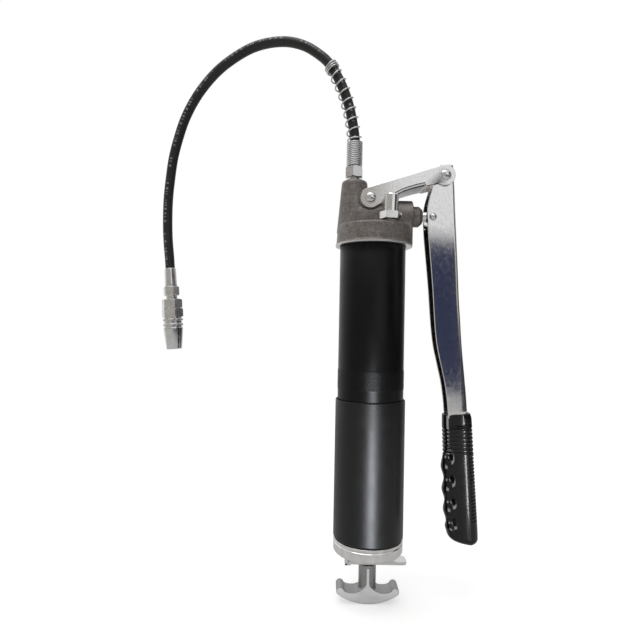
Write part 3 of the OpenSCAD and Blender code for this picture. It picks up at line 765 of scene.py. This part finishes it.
def make_cap():
    """Pressed cap: rolled bead, groove, band with a curled foot, domed middle and the latch's hook."""
    profile = rounded([
        (6.06, -76.5), (11.8, -76.5, 1.2), (17, -71.1, 2.5), (28.2, -71.1, 0.5), (28.9, -70.9, 0.3),
        (28.9, -70.5, 0.2), (29.5, -70.3, 0.4), (29.9, -69.6, 0.6), (29.9, -63.2, 0.4), (29.2, -62.6, 0.25),
        (29.2, -62.2, 0.25), (30.0, -61.6, 0.9), (30.0, -59.6, 1.1), (28.56, -59.5, 0.3), (28.56, -69.3),
        (15.9, -69.3, 1), (10.9, -74.7, 1), (6.06, -74.7), (6.06, -76.5),
    ], 0)
    shell = turned(profile, 160)
    hook = join(block((-19.6, -4, -83.9), (-17.6, 4, -70.7)), block((-19.6, -4, -83.9), (-14.6, 4, -82.1)))
    piece = build("cap", *join(shell, hook), "zinc", "gun_body", ["end_cap"])
    piece.data.materials[0] = bright_zinc()
    return soften(piece, 0.25)


def kept(name, finish, round_mm=0.0):
    """A CAD node shown as it is, with its finish and, if asked, its edges rounded."""
    piece = nodes[name]
    if not piece.material_slots:
        piece.data.materials.append(FINISH[finish])
    for material_slot in piece.material_slots:
        material_slot.material = FINISH[finish]
    weld = piece.modifiers.new("weld", "WELD")
    weld.merge_threshold = 0.00001
    if round_mm:
        soften(piece, round_mm, 2, 35)
    return piece


KEPT = [
    ("head_gasket", "seal_rubber", 0), ("rod_bushing", "brass", 0.3), ("latch_plate", "polished_steel", 0.4),
    ("follower_rod", "zinc", 0), ("follower_plate_lower", "steel", 0), ("follower_cup", "seal_rubber", 0),
    ("follower_plate_upper", "steel", 0), ("follower_nut", "zinc", 0.3), ("plunger", "chrome", 0.35),
    ("plunger_packing", "seal_rubber", 0), ("outlet_ball", "polished_steel", 0),
    ("bleeder_plug", "zinc", 0), ("bleeder_pin", "polished_steel", 0.3), ("coupler_ball", "polished_steel", 0),
    ("seal_washer", "zinc", 0), ("coupler_seal", "seal_rubber", 0), ("coupler_jaws", "steel", 0.15),
]


# ---------- Castings ----------

def sculpted(name, parts, voxel_mm, rounds):
    """One skin over several closed parts, with the soft inner and outer corners of a casting."""
    points, faces = join(*parts)
    mesh = bpy.data.meshes.new(name + "_raw")
    mesh.from_pydata([Vector(p) * MM for p in points], [], faces)
    raw = bpy.data.objects.new(name + "_raw", mesh)
    scene.collection.objects.link(raw)
    remesh = raw.modifiers.new("remesh", "REMESH")
    remesh.mode = "VOXEL"
    remesh.voxel_size = voxel_mm * MM
    smooth = raw.modifiers.new("smooth", "SMOOTH")
    smooth.factor = 0.5
    smooth.iterations = rounds
    bpy.context.view_layer.update()
    evaluated = raw.evaluated_get(bpy.context.evaluated_depsgraph_get())
    skin = bpy.data.meshes.new_from_object(evaluated)
    skin.name = name
    bpy.data.objects.remove(raw)
    piece = bpy.data.objects.new(name, skin)
    scene.collection.objects.link(piece)
    return piece


def cad_part(name):
    """A CAD node's mesh as points in millimetres and faces."""
    data = nodes[name].data
    return [v.co / MM for v in data.vertices], [list(p.vertices) for p in data.polygons]


def prism(outline, low, high):
    """An (x, z) outline, drawn anticlockwise, as thick as from low to high along Y."""
    count = len(outline)
    points = [Vector((x, y, z)) for y in (low, high) for x, z in outline]
    faces = [[k for k in range(count)], [count + k for k in range(count)][::-1]]
    for k in range(count):
        j = (k + 1) % count
        faces.append([k, count + k, count + j, j])
    return points, faces


def mark_ground_and_painted_reflection(piece, test):
    """Sets the attribute that marks faces bright from grinding and sides with a painted dark reflection, from
    each point's place and direction, in millimetres.
    """
    set_attribute(piece, "ground_and_painted_reflection", [test(v.co / MM, v.normal) for v in piece.data.vertices])


def make_head():
    piece = sculpted("head", [cad_part("head_casting")], 0.5, 5)
    settle(piece, "cast_head", "gun_body", ["head_casting"], sharp=0)
    rim = node_mm("head_casting")[0].z
    mark_ground_and_painted_reflection(piece, lambda p, n: 1 - eased(p.z, rim + 1.1, rim + 1.6))
    return piece


def make_handle():
    """T-handle: the CAD shape with a rib down the front and back of its stem."""
    half_rib, flare_top, flare = 1.3, -96.0, 8.0
    right = [(half_rib, -84.5), (half_rib, flare_top)]
    right += [
        (half_rib + flare * (1 - math.cos(a)), flare_top - flare * math.sin(a))
        for a in (math.radians(15 * k) for k in range(1, 7))
    ]
    outline = [(-x, z) for x, z in right] + right[::-1]
    piece = sculpted("handle", [cad_part("t_handle"), prism(outline, -8.25, 8.25)], 0.42, 5)
    settle(piece, "cast_aluminium", "rod", ["t_handle"], sharp=0)
    mark_ground_and_painted_reflection(piece, lambda p, n: eased(abs(n.y), 0.75, 0.95) * eased(abs(p.y), 7.3, 7.9))
    return piece


def make_packing_nut():
    profile = rounded([
        (4.56, 42.3), (6.3, 42.3, 0.5), (8.95, 39.3, 1.4), (8.95, 33.9, 0.7), (8.3, 33.35, 0.3),
        (6.95, 33.35), (6.95, 25.5), (4.56, 25.5), (4.56, 42.3),
    ], 0)
    points, faces = turned(profile, 96)
    return build("gland_nut", points, faces, "cast_head", "gun_body", ["packing_nut"], place=along_x(PLUNGER_Z))


# ---------- Link, rivets and lever ----------

# The link in its own plane: distance from the fulcrum towards the lever's pivot, and height off that line
LINK_LOW = [(21, -4.5), (24, -3.9), (29, -3.1), (38, -2.9), (48, -3.4)]


def make_link():
    """Two plates with rounded ends, folded from one sheet through a web along their lower edges."""
    low, high = Vector(FULCRUM), Vector(LEVER_PIVOT)
    ahead = (high - low).normalized()
    up = Vector((-ahead.y, ahead.x))
    span, end_r, fold_r = (high - low).length, 8.6, 2.7
    inner, outer = LEVER_W / 2 + 0.3, LINK_W / 2

    def spot(p):
        return tuple(low + ahead * p[0] + up * p[1])

    def arc(at, start, stop, steps):
        turn = [math.radians(start + (stop - start) * k / steps) for k in range(steps + 1)]
        return [(at + end_r * math.cos(a), end_r * math.sin(a)) for a in turn]

    def fold(s):
        """Half the folded section at a station, as (y, height): outside, then back along the inside."""
        base, half = read_off(LINK_LOW, s), []
        for r, w, lift in ((fold_r, outer, 0.0), (fold_r - 2, outer - 2, 2.0)):
            bend = [math.radians(180 + 90 * k / 8) for k in range(9)]
            side = [(-w + r + r * math.cos(a), base + lift + r + r * math.sin(a)) for a in bend]
            side = [(-w, base + fold_r + 0.2)] + side
            whole = side + [(-y, h) for y, h in side[::-1]]
            half += whole if r == fold_r else whole[::-1]
        return half

    lifted = [(s, h + fold_r) for s, h in LINK_LOW]
    plate = arc(0, 90, 290.4, 40) + [(20.8, -4.6)] + lifted + [(48.3, -4.0), (50, -4.2), (53, -4.35)]
    plate += arc(span, -147.7, 90, 44)
    plate = [spot(p) for p in plate]
    stations, points, faces = [float(s) for s in range(21, 49)], [], []
    for s in stations:
        for y, h in fold(s):
            x, z = spot((s, h))
            points.append(Vector((x, y, z)))
    count = len(points) // len(stations)
    for i in range(len(stations) - 1):
        for k in range(count):
            j = (k + 1) % count
            faces.append([i * count + j, i * count + k, (i + 1) * count + k, (i + 1) * count + j])
    faces += [list(range(count)), [(len(stations) - 1) * count + k for k in range(count)][::-1]]
    parts = join(prism(plate, -outer, -inner), prism(plate, inner, outer), (points, faces))
    piece = build("link_plates", *parts, "chrome", "link", ["link"], sharp=30)

    # The web's flat faces below the line from fulcrum to pivot get the chrome's painted dark, streaky
    # reflection.
    def underside(p, n):
        return 1.0 if abs(n.z) > 0.75 and (Vector((p.x, p.z)) - low).dot(up) < 0 else 0.0

    mark_ground_and_painted_reflection(piece, underside)
    return soften(piece, 0.35)


def make_rivet(name, node, body, at, head_r, head_h, half_span, finish):
    """A riveted pin: shank, peened ring and domed head at each end."""
    dome_r = head_r * 0.84
    dome = [
        (dome_r * math.cos(a), half_span + 0.2 + (head_h - 0.2) * math.sin(a))
        for a in (math.radians(6 * k) for k in range(16))
    ]
    ring = [(head_r, half_span), (head_r, half_span + 0.35), (head_r - 0.12, half_span + 0.5),
            (dome_r + 0.3, half_span + 0.5), (dome_r + 0.12, half_span + 0.2)]
    half = ring + dome[:-1] + [(0, half_span + head_h)]
    shank = head_r * 0.7
    profile = [(r, -z) for r, z in half[::-1]] + [(shank, -half_span), (shank, half_span)] + half
    place = Matrix.Translation((at[0], 0, at[1])) @ Matrix.Rotation(math.pi / 2, 4, "X")
    points, faces = turned(profile, 64)
    return build(name, points, faces, finish, body, [node], sharp=50, place=place)


# Lever outline as (height, x): its spine and its open edge
LEVER_SPINE = [(44, 84.4), (52, 83.9), (65, 82.6), (78, 80.8), (95, 78.5), (112, 76.8), (129, 75.5),
               (146, 74.1), (180, 72.2), (206, 70.6), (223, 69.6), (240, 68.8), (262.3, 67.2)]
LEVER_EDGE = [(44, 66.5), (60, 65.1), (74.5, 62.9), (90, 59.4), (104.5, 56.1), (122, 53.7), (157, 50.9),
              (185, 48.2), (200, 46.7), (212, 45.8), (222, 45.3), (230, 46.2), (245, 50.2), (262.3, 56)]


def read_off(table, x):
    """A smooth value between a table's entries."""
    xs, ys = [row[0] for row in table], [row[1] for row in table]
    i = min(max(sum(1 for v in xs if v <= x) - 1, 0), len(xs) - 2)
    slopes = []
    for k in (i, i + 1):
        a, b = max(k - 1, 0), min(k + 1, len(xs) - 1)
        slopes.append((ys[b] - ys[a]) / (xs[b] - xs[a]))
    h = xs[i + 1] - xs[i]
    t = (x - xs[i]) / h
    return (ys[i] * (1 + 2 * t) * (1 - t) ** 2 + h * slopes[0] * t * (1 - t) ** 2
            + ys[i + 1] * t * t * (3 - 2 * t) + h * slopes[1] * t * t * (t - 1))


def channel_section(spine, edge, half_w, corner, bends=7):
    """A U-shaped section of sheet as (x, y), open towards -X."""
    section = []
    for inset, order in ((0, 1), (SHEET, -1)):
        r, w, back = max(corner - inset, 0.4), half_w - inset, spine - inset
        side = [(edge, -w)]
        for k in range(bends + 1):
            a = math.radians(-90 + 90 * k / bends)
            side.append((back - r + r * math.cos(a), -w + r + r * math.sin(a)))
        whole = side + [(x, -y) for x, y in side[::-1]]
        section += whole[::order]
    return section


def make_lever():
    low, high, rows, foot_w = 44.0, 262.3, 130, 8.6
    points = []
    for i in range(rows + 1):
        z = low + (high - low) * i / rows
        half_w = foot_w + (LEVER_W / 2 - foot_w) * eased(z, 50, 215) ** 0.8 - 1.3 * (1 - eased(z, 46.6, 48.6))
        corner = 2.8 + 4.2 * (1 - eased(z, 52, 100))
        for x, y in channel_section(read_off(LEVER_SPINE, z), read_off(LEVER_EDGE, z), half_w, corner):
            points.append(Vector((x, y, z)))
    count = len(points) // (rows + 1)
    faces = [[k for k in range(count)][::-1], [rows * count + k for k in range(count)]]
    for i in range(rows):
        for k in range(count):
            j = (k + 1) % count
            faces.append([i * count + k, i * count + j, (i + 1) * count + j, (i + 1) * count + k])
    piece = build("lever_channel", points, faces, "chrome", "lever", ["lever"], sharp=35)
    return soften(piece, 0.3)


# Grip outline as (distance down its axis, half width): towards the barrel and away from it
GRIP_INNER = [(0, 12.0), (11, 12.5), (24, 12.8), (35, 13.3), (45.8, 15.3), (55.5, 13.5), (65.3, 15.5),
              (74, 13.8), (83, 15.2), (91.8, 13.4), (100.7, 14.2), (108, 12.6), (114, 11.0)]
GRIP_OUTER = [(0, 11.9), (4, 12.9), (11, 13.1), (60, 13.1), (98, 13.1), (108, 12.9), (114, 12.5)]
GRIP_VALLEYS = [36.5, 55.5, 74, 91.8]


def make_grip():
    """Moulded grip: plain collar, seven rings, finger grooves, ribs on the outer side."""
    columns, squareness, lean = 132, 2.5, math.radians(3.7)
    body_end, nose, top_x, top_z = 105.5, 5.5, 75, 48
    ring_pitch, rib_pitch, valley_w = 3.34, 2.95, 5.2
    rows = [(3.0, 0.84, 0), (0.4, 0.84, 0), (0.0, 0.88, 0), (0.05, 0.965, 0), (0.5, 1, 0)]
    rows += [(0.5 + 0.42 * i, 1, 0) for i in range(1, 251)]
    rows += [(body_end, 1 - nose / 13 * (1 - math.cos(a)), nose * math.sin(a))
             for a in (math.radians(9 * k) for k in range(1, 11))]
    points = []
    for s, scale, past in rows:
        rings = 0.0
        if 11.4 < s < 34.8:
            rings = eased(math.cos(2 * math.pi * (s - 11.4) / ring_pitch + math.pi), 0.0, 0.8)
        ribs = 0.0
        if 36.2 < s < 92.3:
            ribs = eased(math.cos(2 * math.pi * (s - 36.2) / rib_pitch + math.pi), -0.1, 0.5)
        valley = max(math.exp(-((s - v) / valley_w) ** 2) for v in GRIP_VALLEYS)
        inner, outer = read_off(GRIP_INNER, s), read_off(GRIP_OUTER, s)
        depth = 8.6 + 0.5 * eased(s, 9, 13) + 1.2 * eased(s, 30, 100)
        for k in range(columns):
            a = 2 * math.pi * k / columns
            c, d = math.cos(a), math.sin(a)
            u = math.copysign(abs(c) ** (2 / squareness), c) * (outer if c > 0 else inner)
            y = math.copysign(abs(d) ** (2 / squareness), d) * depth
            u, y = u * scale, y * scale
            groove = 0.75 * rings + 0.9 * ribs * eased(u, 6.8, 8.2)
            reach = math.hypot(u, y)
            u, y = u * (1 - groove / reach), y * (1 - groove / reach)
            y *= 1 - 0.42 * valley * eased(-u, 5.0, 10.0)
            slant = 0.28 * u * eased(s, 92, body_end) if u < 6 else 1.68 * eased(s, 92, body_end)
            down = s + past + slant
            points.append(Vector((top_x + u * math.cos(lean) + down * math.sin(lean), y,
                                  top_z + u * math.sin(lean) - down * math.cos(lean))))
    faces = [[k for k in range(columns)]]
    for i in range(len(rows) - 1):
        for k in range(columns):
            j = (k + 1) % columns
            faces.append([i * columns + j, i * columns + k, (i + 1) * columns + k, (i + 1) * columns + j])
    faces.append([(len(rows) - 1) * columns + k for k in range(columns)][::-1])
    return build("hand_grip", points, faces, "grip_plastic", "lever", ["lever_grip"], sharp=60)


# ---------- Bleeder ----------

def make_bleeder():
    nut = hexagon(19.4, 0, 6, 0.08)
    barrel = turned(rounded([
        (3.2, -6.8), (4.25, -6.8), (4.25, 0.3), (6.05, 0.3), (6.05, 20.2, 0.6), (5.5, 20.9, 0.4),
        (5.2, 21.3, 0.3), (2.9, 21.3, 0.4), (2.06, 20.7), (2.06, 12), (3.2, 12), (3.2, -6.8),
    ], 0), 72)
    piece = build("bleeder_fitting", *join(nut, barrel), "chrome", "gun_body", ["bleeder_body"], place=BLEEDER)
    return soften(piece, 0.25)


for kept_node in KEPT:
    kept(*kept_node)
barrel = make_barrel()
sleeve = make_sleeve()
cap = make_cap()
make_head()
handle = make_handle()
make_packing_nut()
make_link()
make_rivet("fulcrum_rivet", "fulcrum_pin", "link", FULCRUM, 5.2, 2.6, LINK_W / 2, "polished_steel")
make_rivet("lever_rivet", "lever_pin", "link", LEVER_PIVOT, 5.2, 2.6, LINK_W / 2, "polished_steel")
make_rivet("plunger_rivet", "plunger_pin", "lever", PLUNGER_PIVOT, 3.3, 2.4, LEVER_W / 2, "polished_steel")
make_lever()
grip = make_grip()
make_bleeder()


# ---------- Studio ----------

def make_floor():
    """A pale round floor just under the part; it lifts what the camera sees and casts no shadow."""
    gap, floor_r = 0.0003, 1300
    floor_z = cad_box[0].z - gap
    points, faces = turned([(0, floor_z / MM), (floor_r, floor_z / MM)], 96)
    mesh = bpy.data.meshes.new("floor")
    mesh.from_pydata([p * MM for p in points], [], faces)
    floor = bpy.data.objects.new("floor", mesh)
    scene.collection.objects.link(floor)
    material = bpy.data.materials.new("floor_white")
    material.use_nodes = True
    tree = material.node_tree
    tree.nodes.clear()
    pale = add_node(tree, "ShaderNodeBsdfDiffuse", {"Color": (0.62, 0.62, 0.62, 1)}).outputs[0]
    seen = add_node(tree, "ShaderNodeLightPath").outputs["Is Camera Ray"]
    lift = add_node(tree, "ShaderNodeMath", {0: seen, 1: 0.55}, operation="MULTIPLY").outputs[0]
    glow = add_node(tree, "ShaderNodeEmission", {"Strength": lift}).outputs[0]
    total = add_node(tree, "ShaderNodeAddShader", {0: pale, 1: glow}).outputs[0]
    add_node(tree, "ShaderNodeOutputMaterial", {"Surface": total})
    floor.data.materials.append(material)
    floor.visible_shadow = False


# Panels of the surrounding studio: from and to azimuth, from and to elevation, edge, colour.
# Azimuth 0 is in front of the gun, at -Y, and grows towards +X.
PANELS = [
    (-200, 200, 42, 95, 10, (0.85, 0.85, 0.85)),
    (-240, -96, -30, 60, 14, (0.85, 0.85, 0.85)),
    (150, 240, -30, 60, 10, (0.8, 0.8, 0.8)),
    (7.2, 46, 9.6, 40, 2.2, (0.86, 0.86, 0.88)),
    (48, 84, 9.6, 42, 3, (0.06, 0.06, 0.09)),
    (26, 70, -25, 0, 2, (0.04, 0.04, 0.06)),
    (70, 135, -25, 9.6, 4, (0.05, 0.05, 0.055)),
    (8, 24, -25, 9.6, 1.2, (0.035, 0.042, 0.085)),
]


def make_world():
    world = bpy.data.worlds.new("studio")
    scene.world = world
    world.use_nodes = True
    tree = world.node_tree
    tree.nodes.clear()

    def node(kind, inputs=(), **settings):
        return add_node(tree, kind, inputs, **settings)

    def maths(operation, a, b=0.0):
        return node("ShaderNodeMath", {0: a, 1: b}, operation=operation).outputs[0]

    def edge(value, low, high):
        return node("ShaderNodeMapRange", {"Value": value, "From Min": low, "From Max": high},
                    interpolation_type="SMOOTHSTEP").outputs["Result"]

    ahead = node("ShaderNodeTexCoord").outputs["Generated"]
    axes = node("ShaderNodeSeparateXYZ", {"Vector": ahead}).outputs
    degrees = 180 / math.pi
    azimuth = maths("MULTIPLY", maths("ARCTAN2", axes["X"], maths("MULTIPLY", axes["Y"], -1.0)), degrees)
    elevation = maths("MULTIPLY", maths("ARCSINE", axes["Z"]), degrees)
    colour = node("ShaderNodeRGB").outputs[0]
    colour.default_value = (0.43, 0.41, 0.385, 1)
    for az0, az1, el0, el1, soft, shade in PANELS:
        mask = edge(azimuth, az0 - soft, az0 + soft)
        mask = maths("MULTIPLY", mask, edge(azimuth, az1 + soft, az1 - soft))
        mask = maths("MULTIPLY", mask, edge(elevation, el0 - soft, el0 + soft))
        mask = maths("MULTIPLY", mask, edge(elevation, el1 + soft, el1 - soft))
        inputs = {MIX_FACTOR: mask, MIX_A: colour, MIX_B: (*shade, 1)}
        colour = node("ShaderNodeMix", inputs, data_type="RGBA").outputs[MIX_RESULT]
    seen = node("ShaderNodeLightPath").outputs["Is Camera Ray"]
    lit = node("ShaderNodeBackground", {"Color": colour, "Strength": 1.0}).outputs[0]
    plain = node("ShaderNodeBackground", {"Color": (1, 1, 1, 1), "Strength": 1.0}).outputs[0]
    both = node("ShaderNodeMixShader", {0: seen, 1: lit, 2: plain}).outputs[0]
    node("ShaderNodeOutputWorld", {"Surface": both})


def make_light(name, place, aim, width, height, power, colour=(1, 1, 1), receivers=()):
    """An area light; with receivers, only those pieces show it, and only as gloss."""
    data = bpy.data.lights.new(name, "AREA")
    data.shape = "RECTANGLE"
    data.size, data.size_y = width, height
    data.energy = power
    data.color = colour
    light = bpy.data.objects.new(name, data)
    light.location = place
    light.rotation_euler = (Vector(aim) - Vector(place)).to_track_quat("-Z", "Y").to_euler()
    light.visible_camera = False
    if receivers:
        lit = bpy.data.collections.new(name + "_lit")
        for piece in receivers:
            lit.objects.link(piece)
        light.light_linking.receiver_collection = lit
        light.visible_diffuse = False
    scene.collection.objects.link(light)


make_floor()
make_world()
make_light("sleeve_strip", (0.05, -0.8, -0.29), (0.0, 0, -0.03), 0.09, 0.46, 11.5,
           (0.9, 0.94, 1.0), [barrel, sleeve])
make_light("grip_strip", (0.222, -0.25, -0.075), (0.085, -0.01, -0.01), 0.012, 0.17, 0.3,
           (1, 1, 1), [grip])
make_light("grip_side", (-0.233, -0.183, -0.02), (0.07, -0.01, -0.01), 0.2, 0.2, 0.9,
           (0.95, 0.97, 1), [grip])
make_light("foot_soft", (0.055, -0.5, -0.34), (0, 0, -0.09), 0.16, 0.2, 0.085,
           (0.97, 0.98, 1), [handle, cap])
make_light("overhead", (-0.3, -0.3, 1.6), (-0.03, 0, 0.1), 1.2, 1.0, 7.0)
scene.view_settings.view_transform = "Standard"
